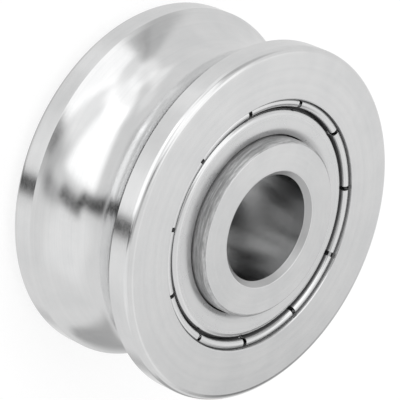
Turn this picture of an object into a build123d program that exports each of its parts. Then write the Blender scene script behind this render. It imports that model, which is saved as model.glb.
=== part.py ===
from build123d import *
import os
from math import cos, radians, sin, sqrt, tan

# Grooved track roller: a thick outer ring runs on two rows of balls round a
# bored inner ring. The axis is Z, the middle of the width is at Z = 0 and the
# side seen in front is at +Z. All sizes are in millimetres.

# Inner ring
bore_radius = 6.0
bore_chamfer = 0.6
inner_wall = 4.0
end_proud = 1.1
collar_chamfer = 0.35
middle_land_drop = 0.4

# Balls and raceways
ball_radius = 2.38
ball_count = 8
pitch_rise = 1.5
row_offset = 3.2
contact_angle = 30.0
raceway_clearance = 0.05
raceway_conformity = 1.04
front_row_phase = 0.0
rear_row_phase = front_row_phase + 180 / ball_count

# Snap cages
pocket_clearance = 0.12
cage_web = 0.4
cage_horn = 1.3
cage_inner_clearance = 0.4
cage_outer_clearance = 0.5
cage_shield_gap = 0.6
cage_chamfer = 0.15
horn_gap = 1.2
horn_gap_depth = 2.2

# Outer ring
rib_rise = 1.2
shoulder_rise = 1.5
recess_step = 1.2
recess_depth = 2.2
recess_chamfer = 0.1
flange_wall = 5.8
edge_radius = 0.75
rail_groove_width = 12.2
rail_groove_radius = 8.1

# Pressed shields, crimped into the outer ring
sheet = 0.35
shield_running_gap = 0.15
plateau_depth = 0.63
shoulder_bend = 0.6
channel_width = 0.3
rim_width = 0.62
rim_gap = 0.2
rim_depth = 0.3
rim_bend = 0.28
hem_lean = 35.0
hem_length = 0.75
crimp_gap = 0.03
notch_count = 11
notch_width = 0.5
notch_depth = 0.95
notch_phase = -7.2

os.makedirs("parts", exist_ok=True)

# Radii from the bore outwards, each one ring's wall on the last
collar_radius = bore_radius + inner_wall
middle_land_radius = collar_radius - middle_land_drop
pitch_radius = collar_radius + pitch_rise
rib_radius = pitch_radius + rib_rise
shoulder_radius = pitch_radius + shoulder_rise
recess_radius = shoulder_radius + recess_step
outer_radius = recess_radius + flange_wall
cage_inner_radius = collar_radius + cage_inner_clearance
cage_outer_radius = shoulder_radius - cage_outer_clearance

# Levels above the middle plane, from the row of balls out to the ring ends
pocket_radius = ball_radius + pocket_clearance
cage_top = row_offset + pocket_radius + cage_web
horn_tip = row_offset - cage_horn
seat_level = cage_top + cage_shield_gap
ring_face = seat_level + recess_depth
inner_face = ring_face + end_proud
plateau_level = ring_face - plateau_depth
rim_level = ring_face - rim_depth

# The contact line leans towards the middle plane on its way out, so the centre
# of the outer raceway lies a little inside the ball's and the inner one's outside
lean = radians(contact_angle)
raceway_radius = raceway_conformity * ball_radius
raceway_shift = raceway_radius - ball_radius - raceway_clearance
outer_raceway = (
    pitch_radius - raceway_shift * cos(lean),
    row_offset + raceway_shift * sin(lean),
)
inner_raceway = (
    pitch_radius + raceway_shift * cos(lean),
    row_offset - raceway_shift * sin(lean),
)

# Corners of the shield, whose hem leans out and down into the undercut
shield_inner_radius = collar_radius + shield_running_gap
rim_outer_radius = recess_radius - rim_gap
rim_inner_radius = rim_outer_radius - rim_width
plateau_edge_radius = rim_inner_radius - channel_width
hem = radians(hem_lean)
inner_bend_shift = sheet * tan((radians(90) - hem) / 2)
hem_tip = (
    rim_outer_radius + hem_length * sin(hem),
    rim_level - hem_length * cos(hem),
)
hem_heel = (hem_tip[0] - sheet * cos(hem), hem_tip[1] - sheet * sin(hem))

# The undercut of the recess takes the hem's tip with the crimp gap to spare
undercut_radius = hem_tip[0] + crimp_gap
undercut_floor = hem_heel[1]
undercut_top = rim_level - (rim_gap - crimp_gap) / tan(hem)

# Outer ring, one solid: rail groove, flanges, two raceways and two recesses
groove_depth = rail_groove_radius - sqrt(
    rail_groove_radius**2 - (rail_groove_width / 2) ** 2
)
groove_centre = outer_radius - groove_depth + rail_groove_radius
with BuildPart() as outer_ring:
    with BuildSketch(Plane.XZ) as ring_section:
        with Locations((rib_radius, 0)):
            Rectangle(outer_radius - rib_radius, ring_face, align=Align.MIN)
        with Locations((0, row_offset)):
            Rectangle(shoulder_radius, ring_face, align=Align.MIN, mode=Mode.SUBTRACT)
        with Locations((0, seat_level)):
            Rectangle(recess_radius, recess_depth, align=Align.MIN, mode=Mode.SUBTRACT)
        face_corners = ring_section.vertices().group_by(Axis.Y)[-1].sort_by(Axis.X)
        chamfer(face_corners[0], recess_chamfer)
        fillet(face_corners[-1], edge_radius)
        with Locations((0, undercut_floor)):
            Rectangle(
                undercut_radius,
                undercut_top - undercut_floor,
                align=Align.MIN,
                mode=Mode.SUBTRACT,
            )
        with Locations(outer_raceway):
            Circle(raceway_radius, mode=Mode.SUBTRACT)
        with Locations((groove_centre, 0)):
            Circle(rail_groove_radius, mode=Mode.SUBTRACT)
        mirror(about=Plane.XZ)
    revolve(axis=Axis.Z)
outer_ring.part.label = "outer_ring"
export_step(outer_ring.part, "parts/outer_ring.step")

# Inner ring, one solid: bore, two raceways and ends that stand proud
with BuildPart() as inner_ring:
    with BuildSketch(Plane.XZ) as inner_section:
        with Locations((bore_radius, 0)):
            Rectangle(collar_radius - bore_radius, inner_face, align=Align.MIN)
        end_corners = inner_section.vertices().group_by(Axis.Y)[-1].sort_by(Axis.X)
        chamfer(end_corners[0], bore_chamfer)
        chamfer(end_corners[-1], collar_chamfer)
        with Locations((middle_land_radius, 0)):
            Rectangle(collar_radius, row_offset, align=Align.MIN, mode=Mode.SUBTRACT)
        with Locations(inner_raceway):
            Circle(raceway_radius, mode=Mode.SUBTRACT)
        mirror(about=Plane.XZ)
    revolve(axis=Axis.Z)
inner_ring.part.label = "inner_ring"
export_step(inner_ring.part, "parts/inner_ring.step")

# Front shield, one pressed sheet: a flat plateau with a rounded shoulder, a deep
# channel, and a raised rim whose hem is notched so that it can be crimped outwards
with BuildPart() as front_shield:
    with BuildSketch(Plane.XZ):
        with BuildLine():
            FilletPolyline(
                (shield_inner_radius, plateau_level),
                (plateau_edge_radius, plateau_level),
                (plateau_edge_radius, seat_level + sheet),
                (rim_inner_radius, seat_level + sheet),
                (rim_inner_radius, rim_level),
                (rim_outer_radius, rim_level),
                hem_tip,
                hem_heel,
                (rim_outer_radius - inner_bend_shift, rim_level - sheet),
                (rim_inner_radius + sheet, rim_level - sheet),
                (rim_inner_radius + sheet, seat_level),
                (plateau_edge_radius - sheet, seat_level),
                (plateau_edge_radius - sheet, plateau_level - sheet),
                (shield_inner_radius, plateau_level - sheet),
                radius=(0, shoulder_bend, 0, 0, rim_bend, rim_bend, 0, 0, 0, 0, 0, 0, 0, 0),
                close=True,
            )
        make_face()
    revolve(axis=Axis.Z)
    with BuildSketch(Plane.XY.offset(rim_level - notch_depth)):
        with PolarLocations(
            rim_inner_radius - channel_width / 2, notch_count, start_angle=notch_phase
        ):
            Rectangle(recess_radius, notch_width, align=(Align.MIN, Align.CENTER))
    extrude(amount=2 * notch_depth, mode=Mode.SUBTRACT)
front_shield.part.label = "front_shield"
export_step(front_shield.part, "parts/front_shield.step")

# Rear shield, the same pressing turned over
with BuildPart() as rear_shield:
    mirror(front_shield.part, about=Plane.XY)
rear_shield.part.label = "rear_shield"
export_step(rear_shield.part, "parts/rear_shield.step")

# Front cage, a moulded ring on the outboard side with horns that snap round the
# balls, and a gap in the middle of each web so that the horns can spring
with BuildPart() as front_cage:
    with BuildSketch(Plane.XZ) as cage_section:
        with Locations((cage_inner_radius, horn_tip)):
            Rectangle(
                cage_outer_radius - cage_inner_radius,
                cage_top - horn_tip,
                align=Align.MIN,
            )
        chamfer(cage_section.vertices().group_by(Axis.Y)[-1], cage_chamfer)
    revolve(axis=Axis.Z)
    with Locations((0, 0, row_offset)):
        with PolarLocations(0, ball_count, start_angle=front_row_phase):
            Cylinder(
                pocket_radius,
                shoulder_radius,
                rotation=(0, 90, 0),
                align=(Align.CENTER, Align.CENTER, Align.MIN),
                mode=Mode.SUBTRACT,
            )
    with BuildSketch(Plane.XY.offset(horn_tip)):
        with PolarLocations(0, ball_count, start_angle=rear_row_phase):
            Rectangle(shoulder_radius, horn_gap, align=(Align.MIN, Align.CENTER))
    extrude(amount=horn_gap_depth, mode=Mode.SUBTRACT)
front_cage.part.label = "front_cage"
export_step(front_cage.part, "parts/front_cage.step")

# Rear cage, the same moulding turned over and half a ball pitch round
with BuildPart() as rear_cage:
    mirror(
        front_cage.part.rotate(Axis.Z, rear_row_phase - front_row_phase),
        about=Plane.XY,
    )
rear_cage.part.label = "rear_cage"
export_step(rear_cage.part, "parts/rear_cage.step")

# Balls, each a part of its own, in two rows
rows = (
    ("front_ball", row_offset, front_row_phase),
    ("rear_ball", -row_offset, rear_row_phase),
)
for row_name, level, phase in rows:
    places = PolarLocations(pitch_radius, ball_count, start_angle=phase)
    for number, place in enumerate(places, start=1):
        with BuildPart(Plane.XY.offset(level)) as ball:
            with Locations(place):
                Sphere(ball_radius)
        ball_name = f"{row_name}_{number}"
        ball.part.label = ball_name
        export_step(ball.part, f"parts/{ball_name}.step")
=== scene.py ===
from math import asin, cos, degrees, pi, radians, sin, sqrt, tan

import bpy
from mathutils import Matrix, Vector


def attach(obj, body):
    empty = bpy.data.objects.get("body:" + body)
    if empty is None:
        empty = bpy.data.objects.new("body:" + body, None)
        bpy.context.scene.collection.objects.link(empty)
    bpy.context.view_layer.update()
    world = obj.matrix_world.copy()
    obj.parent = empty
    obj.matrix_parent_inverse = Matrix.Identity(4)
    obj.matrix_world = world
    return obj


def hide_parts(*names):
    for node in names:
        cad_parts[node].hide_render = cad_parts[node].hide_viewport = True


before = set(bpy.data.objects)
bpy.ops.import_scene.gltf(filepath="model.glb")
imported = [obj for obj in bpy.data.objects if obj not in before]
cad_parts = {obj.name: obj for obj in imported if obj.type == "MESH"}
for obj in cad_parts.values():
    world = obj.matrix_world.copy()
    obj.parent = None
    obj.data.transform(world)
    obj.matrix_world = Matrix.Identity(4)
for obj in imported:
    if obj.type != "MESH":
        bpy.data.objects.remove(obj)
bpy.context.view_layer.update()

MM = 0.001
WHITE = (1, 1, 1, 1)

# Inner ring, in millimetres like all sizes and levels up to the camera
BORE_RADIUS = 6.0
BORE_CHAMFER = 0.6
INNER_WALL = 4.0
COLLAR_RADIUS = BORE_RADIUS + INNER_WALL
COLLAR_CHAMFER = 0.35
MIDDLE_LAND_DROP = 0.4
MIDDLE_LAND_RADIUS = COLLAR_RADIUS - MIDDLE_LAND_DROP

# Balls and raceways
BALL_RADIUS = 2.38
PITCH_RISE = 1.5
PITCH_RADIUS = COLLAR_RADIUS + PITCH_RISE
ROW_OFFSET = 3.2
CONTACT_ANGLE = radians(30)
RACEWAY_CONFORMITY = 1.04
RACEWAY_CLEARANCE = 0.05
RACEWAY_RADIUS = RACEWAY_CONFORMITY * BALL_RADIUS
RACEWAY_SHIFT = RACEWAY_RADIUS - BALL_RADIUS - RACEWAY_CLEARANCE

# Outer ring
RIB_RISE = 1.2
RIB_RADIUS = PITCH_RADIUS + RIB_RISE
SHOULDER_RISE = 1.5
SHOULDER_RADIUS = PITCH_RADIUS + SHOULDER_RISE
RECESS_STEP = 1.2
RECESS_RADIUS = SHOULDER_RADIUS + RECESS_STEP
RECESS_DEPTH = 2.2
RECESS_CHAMFER = 0.1
FLANGE_WALL = 5.8
OUTER_RADIUS = RECESS_RADIUS + FLANGE_WALL
EDGE_RADIUS = 0.75
GROOVE_WIDTH = 12.2
GROOVE_RADIUS = 8.1
RING_FACE = 8.9
END_PROUD = 1.1
INNER_FACE = RING_FACE + END_PROUD
SEAT_LEVEL = RING_FACE - RECESS_DEPTH

# Pressed shields, whose plateau dips to a lip beside the collar
SHEET = 0.35
SHIELD_RUNNING_GAP = 0.15
SHIELD_INNER_RADIUS = COLLAR_RADIUS + SHIELD_RUNNING_GAP
PLATEAU_DEPTH = 0.45
PLATEAU_LEVEL = RING_FACE - PLATEAU_DEPTH
LIP_DROP = 0.2
LIP_LEVEL = PLATEAU_LEVEL - LIP_DROP
LIP_WIDTH = 0.6
LIP_RADIUS = SHIELD_INNER_RADIUS + LIP_WIDTH
LIP_BEND = 1.2
SHOULDER_BEND = 0.6
RIM_GAP = 0.2
RIM_OUTER_RADIUS = RECESS_RADIUS - RIM_GAP
RIM_WIDTH = 0.73
RIM_INNER_RADIUS = RIM_OUTER_RADIUS - RIM_WIDTH
RIM_DEPTH = 0.3
RIM_LEVEL = RING_FACE - RIM_DEPTH
RIM_BEND = 0.41
CHANNEL_WIDTH = 0.28
PLATEAU_EDGE_RADIUS = RIM_INNER_RADIUS - CHANNEL_WIDTH
NOTCH_COUNT = 11
NOTCH_WIDTH = 0.5
NOTCH_DEPTH = 0.95
NOTCH_PHASE = radians(-7.2)
NOTCH_FLOOR = RIM_LEVEL - NOTCH_DEPTH

# The hem leans out and down into the undercut of the recess
HEM_LEAN = radians(35)
HEM_LENGTH = 0.75
HEM_TIP = (RIM_OUTER_RADIUS + HEM_LENGTH * sin(HEM_LEAN), RIM_LEVEL - HEM_LENGTH * cos(HEM_LEAN))
HEM_HEEL = (HEM_TIP[0] - SHEET * cos(HEM_LEAN), HEM_TIP[1] - SHEET * sin(HEM_LEAN))
CRIMP_GAP = 0.03
UNDERCUT_RADIUS = HEM_TIP[0] + CRIMP_GAP
UNDERCUT_FLOOR = HEM_HEEL[1]
UNDERCUT_TOP = RIM_LEVEL - (RIM_GAP - CRIMP_GAP) / tan(HEM_LEAN)

# Small blends that turning, grinding and pressing leave on the edges
LAND_BLEND = 0.04
BORE_BLEND = 0.12
COLLAR_BLEND = 0.1
SMALL_BLEND = 0.05

# Divisions of the meshes
RING_SEGMENTS = 384
COLUMNS_BETWEEN_NOTCHES = 34
GROOVE_STEPS = 30
RACEWAY_STEPS = 20
DEGREES_PER_BLEND_STEP = 9
LEAST_BLEND_STEPS = 3
SUPPORT_GAP = 0.02
LEVEL_TOLERANCE = 1e-6
SHARP_ANGLE = radians(28)

# Camera: the pixel and the distance in metres at which it sees the middle of the front face
IMAGE_SIZE = 400
SENSOR = 36.0
FOCAL_PIXELS = 3125.6
FRONT_CENTRE = Vector((0.0, 0.0, RING_FACE * MM))
FRONT_CENTRE_PIXEL = (262.61, 226.48)
FRONT_CENTRE_DEPTH = 0.33448
CLIP_START = 0.01
CLIP_END = 20.0

# The camera looks down on the front end by the tilt, and is rolled about its line of sight
VIEW_TILT = radians(39.271)
VIEW_ROLL = radians(113.95)
LEVEL_RIGHT = Vector((1.0, 0.0, 0.0))
VIEW_FORWARD = Vector((0.0, cos(VIEW_TILT), -sin(VIEW_TILT)))
LEVEL_UP = LEVEL_RIGHT.cross(VIEW_FORWARD)
VIEW_RIGHT = LEVEL_RIGHT * cos(VIEW_ROLL) + LEVEL_UP * sin(VIEW_ROLL)
VIEW_UP = LEVEL_UP * cos(VIEW_ROLL) - LEVEL_RIGHT * sin(VIEW_ROLL)


def make_camera():
    """A camera that sees the middle of the front face at its pixel in the photograph."""
    right = (FRONT_CENTRE_PIXEL[0] - IMAGE_SIZE / 2) / FOCAL_PIXELS * FRONT_CENTRE_DEPTH
    down = (FRONT_CENTRE_PIXEL[1] - IMAGE_SIZE / 2) / FOCAL_PIXELS * FRONT_CENTRE_DEPTH
    place = FRONT_CENTRE - VIEW_RIGHT * right + VIEW_UP * down
    place = place - VIEW_FORWARD * FRONT_CENTRE_DEPTH
    data = bpy.data.cameras.new("camera")
    data.sensor_width = SENSOR
    data.sensor_height = SENSOR
    data.sensor_fit = "HORIZONTAL"
    data.lens = FOCAL_PIXELS / IMAGE_SIZE * SENSOR
    data.clip_start = CLIP_START
    data.clip_end = CLIP_END
    camera = bpy.data.objects.new("camera", data)
    turn = Matrix((VIEW_RIGHT, VIEW_UP, -VIEW_FORWARD)).transposed().to_4x4()
    camera.matrix_world = Matrix.Translation(place) @ turn
    bpy.context.scene.collection.objects.link(camera)
    bpy.context.scene.camera = camera


make_camera()


# Lathe work
def blended(corners):
    """Points of a closed outline with its corners rounded, and a support point beside each arc."""
    points = []
    count = len(corners)
    for i, (r, z, blend) in enumerate(corners):
        if blend == 0:
            points.append((r, z))
            continue
        here = Vector((r, z))
        inward = (Vector(corners[i - 1][:2]) - here).normalized()
        outward = (Vector(corners[(i + 1) % count][:2]) - here).normalized()
        half = inward.angle(outward) / 2
        reach = blend / tan(half)
        centre = here + (inward + outward).normalized() * (blend / sin(half))
        start = here + inward * reach - centre
        end = here + outward * reach - centre
        sweep = pi - 2 * half
        sense = 1 if start.cross(end) > 0 else -1
        steps = max(LEAST_BLEND_STEPS, round(degrees(sweep) / DEGREES_PER_BLEND_STEP))
        first = here + inward * (reach + SUPPORT_GAP)
        points.append((first.x, first.y))
        for step in range(steps + 1):
            angle = sense * sweep * step / steps
            x = start.x * cos(angle) - start.y * sin(angle)
            y = start.x * sin(angle) + start.y * cos(angle)
            points.append((centre.x + x, centre.y + y))
        last = here + outward * (reach + SUPPORT_GAP)
        points.append((last.x, last.y))
    return points


def arc(centre, radius, first, last, steps):
    """Corners along an arc of the outline, from angle first to last about its centre."""
    corners = []
    for step in range(steps + 1):
        angle = first + (last - first) * step / steps
        corners.append((centre[0] + radius * cos(angle), centre[1] + radius * sin(angle), 0))
    return corners


def mirrored(front_half):
    """A whole outline from its front half, which runs from the middle plane round to it again."""
    rear_half = [(r, -z, blend) for r, z, blend in reversed(front_half)]
    return front_half + rear_half


def mesh_object(name, points, faces):
    """A smooth piece that keeps its sharp edges."""
    mesh = bpy.data.meshes.new(name)
    mesh.from_pydata(points, [], faces)
    mesh.validate()
    mesh.polygons.foreach_set("use_smooth", [True] * len(mesh.polygons))
    mesh.set_sharp_from_angle(angle=SHARP_ANGLE)
    mesh.update()
    piece = bpy.data.objects.new(name, mesh)
    bpy.context.scene.collection.objects.link(piece)
    return piece


def turned(name, outline):
    """A closed outline, counter-clockwise with r to the right and z up, turned about the axis."""
    points = []
    for column in range(RING_SEGMENTS):
        angle = 2 * pi * column / RING_SEGMENTS
        for r, z in outline:
            points.append((r * cos(angle) * MM, r * sin(angle) * MM, z * MM))
    faces = []
    size = len(outline)
    for column in range(RING_SEGMENTS):
        here = column * size
        beyond = (column + 1) % RING_SEGMENTS * size
        for i in range(size):
            j = (i + 1) % size
            faces.append((here + i, beyond + i, beyond + j, here + j))
    return mesh_object(name, points, faces)


# Outer ring
def outer_ring_outline():
    """The rail groove, a flange, the recess with its undercut and a raceway, then their mirror."""
    groove_depth = GROOVE_RADIUS - sqrt(GROOVE_RADIUS**2 - (GROOVE_WIDTH / 2) ** 2)
    groove_centre = (OUTER_RADIUS - groove_depth + GROOVE_RADIUS, 0)
    groove_angle = asin(GROOVE_WIDTH / 2 / GROOVE_RADIUS)
    groove = arc(groove_centre, GROOVE_RADIUS, pi, pi - groove_angle, GROOVE_STEPS)
    race = (
        PITCH_RADIUS - RACEWAY_SHIFT * cos(CONTACT_ANGLE),
        ROW_OFFSET + RACEWAY_SHIFT * sin(CONTACT_ANGLE),
    )
    upper = asin(sqrt(RACEWAY_RADIUS**2 - (SHOULDER_RADIUS - race[0]) ** 2) / RACEWAY_RADIUS)
    lower = -asin(sqrt(RACEWAY_RADIUS**2 - (RIB_RADIUS - race[0]) ** 2) / RACEWAY_RADIUS)
    # the last point of the groove is its mouth, which has a blend of its own
    half = groove[:-1]
    half += [
        (OUTER_RADIUS, GROOVE_WIDTH / 2, LAND_BLEND),
        (OUTER_RADIUS, RING_FACE, EDGE_RADIUS),
        (RECESS_RADIUS + RECESS_CHAMFER, RING_FACE, SMALL_BLEND),
        (RECESS_RADIUS, RING_FACE - RECESS_CHAMFER, 0),
        (RECESS_RADIUS, UNDERCUT_TOP, 0),
        (UNDERCUT_RADIUS, UNDERCUT_TOP, 0),
        (UNDERCUT_RADIUS, UNDERCUT_FLOOR, 0),
        (RECESS_RADIUS, UNDERCUT_FLOOR, 0),
        (RECESS_RADIUS, SEAT_LEVEL, 0),
        (SHOULDER_RADIUS, SEAT_LEVEL, 0),
    ]
    half += arc(race, RACEWAY_RADIUS, upper, lower, RACEWAY_STEPS)
    # the middle of the groove is shared by the two halves, so it stands once
    whole = mirrored(half)
    return blended(whole[:-1])


# Inner ring
def inner_ring_outline():
    """A raceway, the collar and the chamfered bore, then their mirror."""
    race = (
        PITCH_RADIUS + RACEWAY_SHIFT * cos(CONTACT_ANGLE),
        ROW_OFFSET - RACEWAY_SHIFT * sin(CONTACT_ANGLE),
    )
    upper = pi - asin(sqrt(RACEWAY_RADIUS**2 - (race[0] - COLLAR_RADIUS) ** 2) / RACEWAY_RADIUS)
    lower = pi + asin(sqrt(RACEWAY_RADIUS**2 - (race[0] - MIDDLE_LAND_RADIUS) ** 2) / RACEWAY_RADIUS)
    half = arc(race, RACEWAY_RADIUS, lower, upper, RACEWAY_STEPS)
    half += [
        (COLLAR_RADIUS, INNER_FACE - COLLAR_CHAMFER, COLLAR_BLEND),
        (COLLAR_RADIUS - COLLAR_CHAMFER, INNER_FACE, COLLAR_BLEND),
        (BORE_RADIUS + BORE_CHAMFER, INNER_FACE, BORE_BLEND),
        (BORE_RADIUS, INNER_FACE - BORE_CHAMFER, BORE_BLEND),
    ]
    return blended(mirrored(half))


# Shields
def shield_outline():
    """One sheet: under the plateau, down to its seat, out through the hem and back over the rim."""
    inner_bend_shift = SHEET * tan((pi / 2 - HEM_LEAN) / 2)
    corners = [
        (LIP_RADIUS, PLATEAU_LEVEL, LIP_BEND),
        (SHIELD_INNER_RADIUS, LIP_LEVEL, SMALL_BLEND),
        (SHIELD_INNER_RADIUS, LIP_LEVEL - SHEET, 0),
        (LIP_RADIUS, PLATEAU_LEVEL - SHEET, 0),
        (PLATEAU_EDGE_RADIUS - SHEET, PLATEAU_LEVEL - SHEET, 0),
        (PLATEAU_EDGE_RADIUS - SHEET, SEAT_LEVEL, 0),
        (RIM_INNER_RADIUS + SHEET, SEAT_LEVEL, 0),
        (RIM_INNER_RADIUS + SHEET, NOTCH_FLOOR, 0),
        (RIM_INNER_RADIUS + SHEET, RIM_LEVEL - SHEET, 0),
        (RIM_OUTER_RADIUS - inner_bend_shift, RIM_LEVEL - SHEET, 0),
        (HEM_HEEL[0], HEM_HEEL[1], 0),
        (HEM_TIP[0], HEM_TIP[1], 0),
        (RIM_OUTER_RADIUS, RIM_LEVEL, RIM_BEND),
        (RIM_INNER_RADIUS, RIM_LEVEL, RIM_BEND),
        (RIM_INNER_RADIUS, NOTCH_FLOOR, 0),
        (RIM_INNER_RADIUS, SEAT_LEVEL + SHEET, 0),
        (PLATEAU_EDGE_RADIUS, SEAT_LEVEL + SHEET, 0),
        (PLATEAU_EDGE_RADIUS, PLATEAU_LEVEL, SHOULDER_BEND),
    ]
    return blended(corners)


def shield_columns():
    """The turns of the outline about the axis: angle, side of a notch, and if a notch starts there.

    On the side -1 or 1 of a notch the outline is shifted by half the notch's width, so that
    the notch's walls are parallel. Between notches the side is 0.
    """
    pitch = 2 * pi / NOTCH_COUNT
    spread = asin(NOTCH_WIDTH / 2 / RECESS_RADIUS)
    columns = []
    for notch in range(NOTCH_COUNT):
        middle = NOTCH_PHASE + pitch * notch
        columns.append((middle, -1, True))
        columns.append((middle, 1, False))
        for step in range(1, COLUMNS_BETWEEN_NOTCHES):
            share = step / COLUMNS_BETWEEN_NOTCHES
            columns.append((middle + spread + (pitch - 2 * spread) * share, 0, False))
    return columns


def pressed_shield(name, side):
    """The pressing, cut through at the notches in rim and hem. side is 1 in front and -1 behind."""
    outline = shield_outline()
    columns = shield_columns()
    points = []
    for middle, edge, _ in columns:
        for r, z in outline:
            angle = middle + edge * asin(NOTCH_WIDTH / 2 / r)
            points.append((r * cos(angle) * MM, r * sin(angle) * MM, side * z * MM))
    faces = []

    def add(*corners):
        faces.append(corners if side > 0 else tuple(reversed(corners)))

    size = len(outline)
    channel_middle = (PLATEAU_EDGE_RADIUS + RIM_INNER_RADIUS) / 2
    cut = [r > channel_middle and z > NOTCH_FLOOR - LEVEL_TOLERANCE for r, z in outline]
    walls = [i for i in range(size) if cut[i]]
    for column, (_, _, starts_notch) in enumerate(columns):
        here = column * size
        beyond = (column + 1) % len(columns) * size
        for i in range(size):
            j = (i + 1) % size
            if not (starts_notch and cut[i] and cut[j]):
                add(here + i, beyond + i, beyond + j, here + j)
        if starts_notch:
            add(*[here + i for i in reversed(walls)])
            add(*[beyond + i for i in walls])
            add(here + walls[0], beyond + walls[0], beyond + walls[-1], here + walls[-1])
    return mesh_object(name, points, faces)


outer_ring = turned("outer_ring_turned", outer_ring_outline())
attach(outer_ring, "outer_ring")
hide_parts("outer_ring")

inner_ring = turned("inner_ring_turned", inner_ring_outline())
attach(inner_ring, "inner_ring")
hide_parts("inner_ring")

front_shield = pressed_shield("front_shield_pressed", 1)
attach(front_shield, "outer_ring")
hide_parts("front_shield")

rear_shield = pressed_shield("rear_shield_pressed", -1)
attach(rear_shield, "outer_ring")
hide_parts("rear_shield")


# Node helpers
BUMP_DEPTH = 0.02 * MM


class Nodes:
    """Adds nodes to one tree; a number, a colour or another node's output may feed a socket."""

    def __init__(self, owner):
        owner.use_nodes = True
        self.tree = owner.node_tree
        self.tree.nodes.clear()

    def add(self, kind, inputs=None, **settings):
        node = self.tree.nodes.new(kind)
        for key, value in settings.items():
            setattr(node, key, value)
        for key, value in (inputs or {}).items():
            socket = node.inputs[key]
            if isinstance(value, bpy.types.NodeSocket):
                self.tree.links.new(value, socket)
            else:
                socket.default_value = value
        return node

    def math(self, operation, *values):
        return self.add("ShaderNodeMath", dict(enumerate(values)), operation=operation).outputs[0]

    def times(self, first, second):
        return self.math("MULTIPLY", first, second)

    def larger(self, first, second):
        return self.math("MAXIMUM", first, second)

    def dot(self, vector, direction):
        node = self.add("ShaderNodeVectorMath", {0: vector, 1: direction}, operation="DOT_PRODUCT")
        return node.outputs["Value"]

    def stretched(self, vector, factors):
        inputs = {0: vector, 1: factors}
        return self.add("ShaderNodeVectorMath", inputs, operation="MULTIPLY").outputs[0]

    def ramp(self, value, span, results):
        """Goes smoothly from the first result at the span's start to the second at its end."""
        inputs = {0: value, 1: span[0], 2: span[1], 3: results[0], 4: results[1]}
        return self.add("ShaderNodeMapRange", inputs, interpolation_type="SMOOTHSTEP").outputs[0]

    def between(self, value, span, soft):
        """1 where the value lies in the span, falling to 0 over soft on both sides."""
        rise = self.ramp(value, (span[0] - soft, span[0]), (0.0, 1.0))
        fall = self.ramp(value, (span[1], span[1] + soft), (1.0, 0.0))
        return self.times(rise, fall)

    def mix(self, share, first, second):
        inputs = {0: share, 2: first, 3: second}
        return self.add("ShaderNodeMix", inputs, data_type="FLOAT").outputs[0]

    def mix_colour(self, share, first, second):
        inputs = {0: share, 6: first, 7: second}
        return self.add("ShaderNodeMix", inputs, data_type="RGBA").outputs[2]

    def split(self, vector):
        return self.add("ShaderNodeSeparateXYZ", {0: vector}).outputs

    def join(self, x, y=0.0, z=0.0):
        return self.add("ShaderNodeCombineXYZ", {"X": x, "Y": y, "Z": z}).outputs[0]

    def place(self):
        """The shaded point's place."""
        return self.add("ShaderNodeTexCoord").outputs["Object"]

    def radius(self, place):
        """The point's distance from the axis."""
        x, y, _ = self.split(place)
        node = self.add("ShaderNodeVectorMath", {0: self.join(x, y)}, operation="LENGTH")
        return node.outputs["Value"]

    def noise(self, vector, scale, detail, roughness):
        inputs = {"Vector": vector, "Scale": scale, "Detail": detail, "Roughness": roughness}
        return self.add("ShaderNodeTexNoise", inputs).outputs[0]

    def bump(self, strength, height):
        inputs = {"Strength": strength, "Distance": BUMP_DEPTH, "Height": height}
        return self.add("ShaderNodeBump", inputs).outputs[0]


def mm(*lengths):
    """Lengths given in millimetres, in metres for the nodes."""
    return tuple(length * MM for length in lengths)


# Steel: scales of its noises, for places in metres, and their shares in tone, gloss and relief
NOISE_RANGE = (0.3, 0.7)
BROAD_RINGS = 6
BROAD_RING_SHARE = 0.4
CLOUD_SCALE = 260.0
CLOUD_SHARE = 0.45
SPECK_SCALE = 2600.0
SPECK_GLOSS_SHARE = 0.5
SPECK_RELIEF_SHARE = 0.3
GLOSS_SPREAD = 0.035
# the dark colour that painted shade mixes into the steel
PAINTED_SHADE_COLOUR = (0.08, 0.08, 0.082, 1)


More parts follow.
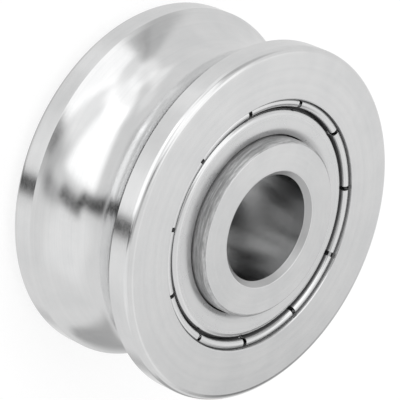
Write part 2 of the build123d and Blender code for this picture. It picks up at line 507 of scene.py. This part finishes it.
def turned_steel(name, dark, light, roughness, marks, ring_scale, anisotropy=0.0, shade_and_finish=None):
    """Turned and ground steel: rings round the axis, a little mottling and faint handling marks.

    marks is the strength of the rings and specks in relief. The last argument is a function that
    gives, from a point's place, radius and height from the middle plane, how much painted shade
    darkens it and how much rougher its finish is.
    """
    material = bpy.data.materials.new(name)
    n = Nodes(material)
    place = n.place()
    radius = n.radius(place)
    height = n.split(place)[2]
    # the rings follow the radius on the end faces and the height on the walls
    ring_place = n.join(radius, height)
    fine_rings = n.noise(ring_place, ring_scale, detail=4.0, roughness=0.7)
    broad_rings = n.noise(ring_place, ring_scale / BROAD_RINGS, detail=2.0, roughness=0.5)
    cloud = n.noise(place, CLOUD_SCALE, detail=3.0, roughness=0.6)
    speck = n.noise(place, SPECK_SCALE, detail=2.0, roughness=0.6)
    rings = n.mix(BROAD_RING_SHARE, fine_rings, broad_rings)
    tone = n.mix(CLOUD_SHARE, rings, cloud)
    colour = n.mix_colour(n.ramp(tone, NOISE_RANGE, (0.0, 1.0)), dark, light)
    gloss_range = (roughness - GLOSS_SPREAD, roughness + GLOSS_SPREAD)
    gloss = n.ramp(n.mix(SPECK_GLOSS_SHARE, cloud, speck), NOISE_RANGE, gloss_range)
    metallic = 1.0
    # painted shade: where the mask calls for it, the colour darkens and the metal gives way to a dark
    # matt surface
    if shade_and_finish:
        painted_shade, matt = shade_and_finish(n, place, radius, n.math("ABSOLUTE", height))
        colour = n.mix_colour(painted_shade, colour, PAINTED_SHADE_COLOUR)
        gloss = n.math("ADD", gloss, matt)
        metallic = n.math("SUBTRACT", 1.0, painted_shade)
    shader = n.add(
        "ShaderNodeBsdfPrincipled",
        {
            "Base Color": colour,
            "Metallic": metallic,
            "Roughness": gloss,
            "Anisotropic": anisotropy,
            "Tangent": n.add("ShaderNodeTangent", direction_type="RADIAL", axis="Z").outputs[0],
            "Normal": n.bump(marks, n.mix(SPECK_RELIEF_SHARE, rings, speck)),
        },
    )
    n.add("ShaderNodeOutputMaterial", {"Surface": shader.outputs[0]})
    return material


# Plastic: scales of its noises and how far the grain stands out
GRAIN_SCALE = 4000.0
GRAIN_RANGE = (0.2, 0.8)
GRAIN_RELIEF = 0.3
BLOTCH_SCALE = 400.0
BLOTCH_SHARE = 0.5


def moulded_plastic(name, dark, light, roughness_range):
    """Glass-filled plastic: dark, matt and slightly grained."""
    material = bpy.data.materials.new(name)
    n = Nodes(material)
    place = n.place()
    grain = n.noise(place, GRAIN_SCALE, detail=4.0, roughness=0.7)
    blotches = n.noise(place, BLOTCH_SCALE, detail=2.0, roughness=0.5)
    shader = n.add(
        "ShaderNodeBsdfPrincipled",
        {
            "Base Color": n.mix_colour(n.mix(BLOTCH_SHARE, grain, blotches), dark, light),
            "Roughness": n.ramp(grain, GRAIN_RANGE, roughness_range),
            "Normal": n.bump(GRAIN_RELIEF, grain),
        },
    )
    n.add("ShaderNodeOutputMaterial", {"Surface": shader.outputs[0]})
    return material


# Painted shade in the outer ring's recess: it falls from low down to near the face
RECESS_PAINTED_SHADE = (0.9, 0.3)
RECESS_SHADE_LEVELS = mm(RING_FACE - 0.75, RING_FACE - 0.25)
RECESS_MATT = 0.15
RECESS_EDGE = mm(RECESS_RADIUS + 0.02, RECESS_RADIUS + 0.04)


def ring_shade_and_finish(n, place, radius, height):
    """The recess that the shield is crimped into is left as turned and is darkened low down with
    painted shade.
    """
    recess = n.ramp(radius, RECESS_EDGE, (1.0, 0.0))
    # painted shade, darkest low in the recess
    painted_shade = n.ramp(height, RECESS_SHADE_LEVELS, RECESS_PAINTED_SHADE)
    return n.times(recess, painted_shade), n.times(recess, RECESS_MATT)


# Inner ring: painted shade on its wall, darkest at the foot, and on the bore's chamfer, and its bore
# smoother than the rest
WALL_EDGE = mm(COLLAR_RADIUS - COLLAR_CHAMFER, COLLAR_RADIUS - COLLAR_CHAMFER + 0.08)
WALL_PAINTED_SHADE = (0.68, 0.52)
WALL_SHADE_LEVELS = mm(LIP_LEVEL, LIP_LEVEL + 0.5)
CUT_SCALE = 9000.0
SCRATCH_SHARE = 0.7
SCRATCH_SCALE = 1100.0
SCRATCH_STRETCH = (0.35, 0.35, 3.5)
CUT_RANGE = (0.38, 0.6)
CUT_STRENGTH = (0.3, 1.3)
CHAMFER_BAND = mm(BORE_RADIUS + 0.05, BORE_RADIUS + BORE_CHAMFER - 0.05)
CHAMFER_SOFT = 0.05 * MM
CHAMFER_PAINTED_SHADE = 0.4
TURNED_MATT = 0.16
BORE_EDGE = mm(BORE_RADIUS + 0.01, BORE_RADIUS + 0.05)
BORE_POLISH = -0.07


def inner_shade_and_finish(n, place, radius, height):
    """The collar's wall is turned, not ground, and darkened with painted shade broken up by its cuts;
    the bore's chamfer is dull and darkened with painted shade, and the bore is honed.
    """
    wall = n.ramp(radius, WALL_EDGE, (0.0, 1.0))
    wall_shade = n.ramp(height, WALL_SHADE_LEVELS, WALL_PAINTED_SHADE)
    cut = n.noise(n.join(height), CUT_SCALE, detail=3.0, roughness=0.8)
    # scratches run round the wall, so the noise is stretched along it
    scratches = n.noise(n.stretched(place, SCRATCH_STRETCH), SCRATCH_SCALE, detail=4.0, roughness=0.75)
    rough_cut = n.ramp(n.mix(SCRATCH_SHARE, cut, scratches), CUT_RANGE, CUT_STRENGTH)
    chamfer = n.between(radius, CHAMFER_BAND, CHAMFER_SOFT)
    # painted shade on the wall, broken up by the cuts, and on the bore's chamfer
    painted_wall_shade = n.times(n.times(wall, wall_shade), rough_cut)
    painted_shade = n.math("ADD", painted_wall_shade, n.times(chamfer, CHAMFER_PAINTED_SHADE))
    bore = n.ramp(radius, BORE_EDGE, (BORE_POLISH, 0.0))
    return painted_shade, n.math("MULTIPLY_ADD", n.larger(wall, chamfer), TURNED_MATT, bore)


# Shields: painted shade low in the channel, on the hem and towards the inner lip, and a satin plateau
CHANNEL_BAND = mm(PLATEAU_EDGE_RADIUS - 0.02, RIM_INNER_RADIUS + 0.03)
CHANNEL_SOFT = 0.05 * MM
CHANNEL_PAINTED_SHADE = 0.9
CHANNEL_SHADE_LEVELS = mm(RIM_LEVEL - 0.45, RIM_LEVEL - 0.08)
CHANNEL_MATT = 0.25
LIP_PAINTED_SHADE = 0.4
LIP_SHADE_BAND = mm(SHIELD_INNER_RADIUS, SHIELD_INNER_RADIUS + 1.2)
HEM_PAINTED_SHADE = 0.8
HEM_EDGE = mm(RIM_OUTER_RADIUS - 0.05, RIM_OUTER_RADIUS + 0.05)
PLATEAU_MATT = 0.14
PLATEAU_EDGE = mm(PLATEAU_EDGE_RADIUS - 0.9, PLATEAU_EDGE_RADIUS - 0.5)


def shield_shade_and_finish(n, place, radius, height):
    """The channel and the hem are darkened with painted shade, and so is the plateau towards its lip.
    """
    # painted shade low in the channel, towards the lip and on the hem
    channel = n.between(radius, CHANNEL_BAND, CHANNEL_SOFT)
    channel_shade = n.times(channel, n.ramp(height, CHANNEL_SHADE_LEVELS, (CHANNEL_PAINTED_SHADE, 0.0)))
    lip_shade = n.ramp(radius, LIP_SHADE_BAND, (LIP_PAINTED_SHADE, 0.0))
    hem_shade = n.ramp(radius, HEM_EDGE, (0.0, HEM_PAINTED_SHADE))
    plateau_matt = n.ramp(radius, PLATEAU_EDGE, (PLATEAU_MATT, 0.0))
    painted_shade = n.larger(n.larger(channel_shade, lip_shade), hem_shade)
    return painted_shade, n.larger(plateau_matt, n.times(channel, CHANNEL_MATT))


ring_steel = turned_steel(
    "ring_steel",
    dark=(0.74, 0.745, 0.75, 1),
    light=(0.83, 0.83, 0.83, 1),
    roughness=0.14,
    marks=0.13,
    ring_scale=9000.0,
    anisotropy=0.35,
    shade_and_finish=ring_shade_and_finish,
)
inner_steel = turned_steel(
    "inner_steel",
    dark=(0.72, 0.725, 0.73, 1),
    light=(0.83, 0.83, 0.83, 1),
    roughness=0.22,
    marks=0.08,
    ring_scale=9000.0,
    anisotropy=0.35,
    shade_and_finish=inner_shade_and_finish,
)
shield_steel = turned_steel(
    "shield_steel",
    dark=(0.76, 0.765, 0.77, 1),
    light=(0.84, 0.84, 0.84, 1),
    roughness=0.16,
    marks=0.12,
    ring_scale=5000.0,
    anisotropy=0.15,
    shade_and_finish=shield_shade_and_finish,
)
ball_steel = turned_steel(
    "ball_steel",
    dark=(0.74, 0.745, 0.75, 1),
    light=(0.8, 0.8, 0.8, 1),
    roughness=0.06,
    marks=0.05,
    ring_scale=3000.0,
)
cage_plastic = moulded_plastic(
    "cage_polyamide",
    dark=(0.012, 0.011, 0.010, 1),
    light=(0.035, 0.032, 0.028, 1),
    roughness_range=(0.45, 0.65),
)


def dress(piece, material):
    """Gives the piece this material alone."""
    piece.data.materials.clear()
    piece.data.materials.append(material)


dress(outer_ring, ring_steel)
dress(inner_ring, inner_steel)
dress(front_shield, shield_steel)
dress(rear_shield, shield_steel)
for node_name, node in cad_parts.items():
    if "_ball_" in node_name:
        dress(node, ball_steel)
    if "_cage" in node_name:
        dress(node, cage_plastic)

# The studio stands round the roller as it was photographed, on its rim. Its up direction is
# the photograph's, corrected for a view from above and a small lean, and turns round it are
# measured from the roller's front.
STUDIO_LOOK_DOWN = radians(14.317)
STUDIO_LEAN = radians(4.837)
PICTURE_UP = VIEW_UP * cos(STUDIO_LOOK_DOWN) - VIEW_FORWARD * sin(STUDIO_LOOK_DOWN)
STUDIO_UP = PICTURE_UP * cos(STUDIO_LEAN) - VIEW_RIGHT * sin(STUDIO_LEAN)
STUDIO_SIDE = STUDIO_UP.cross(Vector((0.0, 0.0, 1.0))).normalized()
STUDIO_FRONT = STUDIO_SIDE.cross(STUDIO_UP)

# The pale table turns into the pale wall over a few degrees of height
HORIZON = (0.0, 6.0)
TABLE_AND_WALL = (0.79, 0.77)
DARKEST = 0.03
CAMERA_WHITE = 1.0

# Soft boxes and, with a negative strength, dark cards: first the strength, then in degrees the
# turn and height of the middle, half the width and half the height, and the softness
PATCHES = {
    "left window": (0.55, (-97.0, 36.0), (31.0, 27.0), 8.0),
    "sky over the left window": (0.38, (-90.0, 68.0), (50.0, 14.0), 12.0),
    "wall between the windows": (0.22, (-45.0, 42.0), (18.0, 22.0), 10.0),
    "front window": (0.45, (-10.0, 38.0), (24.0, 24.0), 6.0),
    "sky over the front window": (0.14, (-10.0, 72.0), (30.0, 10.0), 10.0),
    "sill of the front window": (0.4, (14.0, 2.0), (20.0, 15.0), 8.0),
    "sky at the back": (0.21, (160.0, 72.0), (22.0, 10.0), 8.0),
    "wall at the back": (0.12, (-170.0, 59.0), (14.0, 7.0), 8.0),
    "sky overhead": (0.21, (0.0, 90.0), (200.0, 12.0), 8.0),
    "card right of the front window": (-0.2, (24.0, 58.0), (10.0, 17.0), 5.0),
    "card further to the right": (-0.22, (43.0, 52.0), (16.0, 22.0), 9.0),
    "card left of the sill": (-0.2, (-41.0, 2.0), (15.0, 12.0), 8.0),
    "small card left of the sill": (-0.3, (-33.0, 9.0), (9.0, 8.0), 6.0),
    "low card at the back": (-0.13, (152.0, 16.0), (10.0, 12.0), 6.0),
    "card left of the back": (-0.17, (-178.0, 21.0), (17.0, 15.0), 8.0),
    "far edge of the table, back left": (-0.7, (-132.0, 3.5), (26.0, 4.5), 6.0),
    "far edge of the table, back": (-0.42, (178.0, 1.0), (22.0, 4.0), 6.0),
    "far edge of the table, left": (-0.66, (-94.0, -3.5), (19.0, 5.5), 6.0),
    "near end of the table's edge": (-0.34, (-62.0, -8.0), (14.0, 6.0), 8.0),
    "light on the table, left": (0.12, (-105.0, -28.0), (36.0, 22.0), 14.0),
    "shade on the table, back": (-0.36, (148.0, -58.0), (20.0, 24.0), 10.0),
    "light on the table, right": (0.1, (38.0, -31.0), (14.0, 30.0), 6.0),
    "shade on the table, right": (-0.42, (76.0, -48.0), (23.0, 13.0), 16.0),
    "shade for the face's lower edge": (-0.24, (61.0, -40.0), (7.0, 7.5), 2.5),
}


def make_world():
    """Soft boxes and cards round the roller, seen in its reflections only; the camera sees white."""
    world = bpy.data.worlds.new("studio")
    bpy.context.scene.world = world
    n = Nodes(world)
    way = n.add("ShaderNodeTexCoord").outputs["Generated"]
    height = n.math("DEGREES", n.math("ARCSINE", n.dot(way, STUDIO_UP)))
    turn = n.math("DEGREES", n.math("ARCTAN2", n.dot(way, STUDIO_SIDE), n.dot(way, STUDIO_FRONT)))
    light = n.ramp(height, HORIZON, TABLE_AND_WALL)
    for strength, middle, half_size, soft in PATCHES.values():
        aside = n.math("WRAP", n.math("SUBTRACT", turn, middle[0]), 180.0, -180.0)
        above = n.math("SUBTRACT", height, middle[1])
        turn_edge = (half_size[0] - soft, half_size[0] + soft)
        height_edge = (half_size[1] - soft / 2, half_size[1] + soft / 2)
        in_turn = n.ramp(n.math("ABSOLUTE", aside), turn_edge, (strength, 0.0))
        in_height = n.ramp(n.math("ABSOLUTE", above), height_edge, (1.0, 0.0))
        light = n.math("MULTIPLY_ADD", in_turn, in_height, light)
    light = n.larger(light, DARKEST)
    rays = n.add("ShaderNodeLightPath")
    strength = n.mix(rays.outputs["Is Camera Ray"], light, CAMERA_WHITE)
    background = n.add("ShaderNodeBackground", {"Color": WHITE, "Strength": strength})
    n.add("ShaderNodeOutputWorld", {"Surface": background.outputs[0]})


# Floor: its tone beside the roller and its painted shade under the bore, the glow that lifts it
# to white for the camera, and the gap in millimetres that keeps it off the inner ring's end
FLOOR_HALF_SIZE = 1.5
FLOOR_GAP = 0.01
FLOOR_TONE = 0.9
FLOOR_SHADE_UNDER_BORE = 0.12
FLOOR_GLOW = 1.12
FLOOR_GLOW_SHARE = 0.7
COLLAR_FOOT = mm(COLLAR_RADIUS - 0.2, COLLAR_RADIUS - 0.1)

# Painted reflection in the bore: the share of the surroundings that the bore shows, by the place on
# the floor where it reflects them
GLIMPSE_DEPTH = mm(-4.8, -2.2)
GLIMPSE_BY_DEPTH = (0.14, 1.0)
GLIMPSE_WIDTH = mm(-2.0, 3.6)
GLIMPSE_BY_WIDTH = (0.33, 0.52)
STRIPE_BAND = mm(-1.8, -0.4)
STRIPE_SOFT = 1.4 * MM
STRIPE_SHADE = -0.16


def bore_glimpse(n, place):
    """The share at one place: less on the camera's side and on the left, and in one stripe."""
    across, along, _ = n.split(place)
    by_depth = n.ramp(along, GLIMPSE_DEPTH, GLIMPSE_BY_DEPTH)
    by_width = n.ramp(across, GLIMPSE_WIDTH, GLIMPSE_BY_WIDTH)
    stripe = n.between(across, STRIPE_BAND, STRIPE_SOFT)
    striped = n.math("MULTIPLY_ADD", stripe, STRIPE_SHADE, by_width)
    return n.times(by_depth, striped)


def white_paper():
    """White paper that the roller's reflections and refractions look through."""
    material = bpy.data.materials.new("floor_white")
    n = Nodes(material)
    place = n.place()
    radius = n.radius(place)
    rays = n.add("ShaderNodeLightPath")
    # painted shade: the paper is dark under the bore, inside the collar's foot
    tone = n.ramp(radius, COLLAR_FOOT, (FLOOR_SHADE_UNDER_BORE, FLOOR_TONE))
    grey = n.add("ShaderNodeCombineColor", {0: tone, 1: tone, 2: tone}).outputs[0]
    paper = n.add("ShaderNodeBsdfDiffuse", {"Color": grey}).outputs[0]
    glow = n.add("ShaderNodeEmission", {"Color": WHITE, "Strength": FLOOR_GLOW}).outputs[0]
    glow_share = n.times(rays.outputs["Is Camera Ray"], FLOOR_GLOW_SHARE)
    lit = n.add("ShaderNodeMixShader", {0: glow_share, 1: paper, 2: glow}).outputs[0]
    clear = n.add("ShaderNodeBsdfTransparent").outputs[0]
    # the floor all but closes the bore from below, as the roller stands on it
    beside = n.ramp(radius, COLLAR_FOOT, (bore_glimpse(n, place), 1.0))
    reflected = n.times(rays.outputs["Is Glossy Ray"], beside)
    open_way = n.larger(reflected, rays.outputs["Is Transmission Ray"])
    surface = n.add("ShaderNodeMixShader", {0: open_way, 1: lit, 2: clear}).outputs[0]
    n.add("ShaderNodeOutputMaterial", {"Surface": surface})
    return material


def make_floor():
    """A plain white floor that takes the soft shadow."""
    level = -(INNER_FACE + FLOOR_GAP) * MM
    near = -FLOOR_HALF_SIZE
    far = FLOOR_HALF_SIZE
    points = [(near, near, level), (far, near, level), (far, far, level), (near, far, level)]
    mesh = bpy.data.meshes.new("floor")
    mesh.from_pydata(points, [], [(0, 1, 2, 3)])
    mesh.materials.append(white_paper())
    floor = bpy.data.objects.new("floor", mesh)
    bpy.context.scene.collection.objects.link(floor)


# Lamp, in metres and watts
LAMP_SIZE = 0.3
LAMP_POWER = 0.35
LAMP_PLACE = Vector((-0.28, -0.22, 0.42))


def make_lamp():
    """One broad soft lamp over the front end, for the shadow on the floor."""
    data = bpy.data.lights.new("soft_lamp", "AREA")
    data.shape = "SQUARE"
    data.size = LAMP_SIZE
    data.energy = LAMP_POWER
    lamp = bpy.data.objects.new("soft_lamp", data)
    aim = LAMP_PLACE.to_track_quat("Z", "Y").to_matrix().to_4x4()
    lamp.matrix_world = Matrix.Translation(LAMP_PLACE) @ aim
    lamp.visible_glossy = False
    bpy.context.scene.collection.objects.link(lamp)


make_world()
make_floor()
make_lamp()
bpy.context.scene.view_settings.view_transform = "Standard"
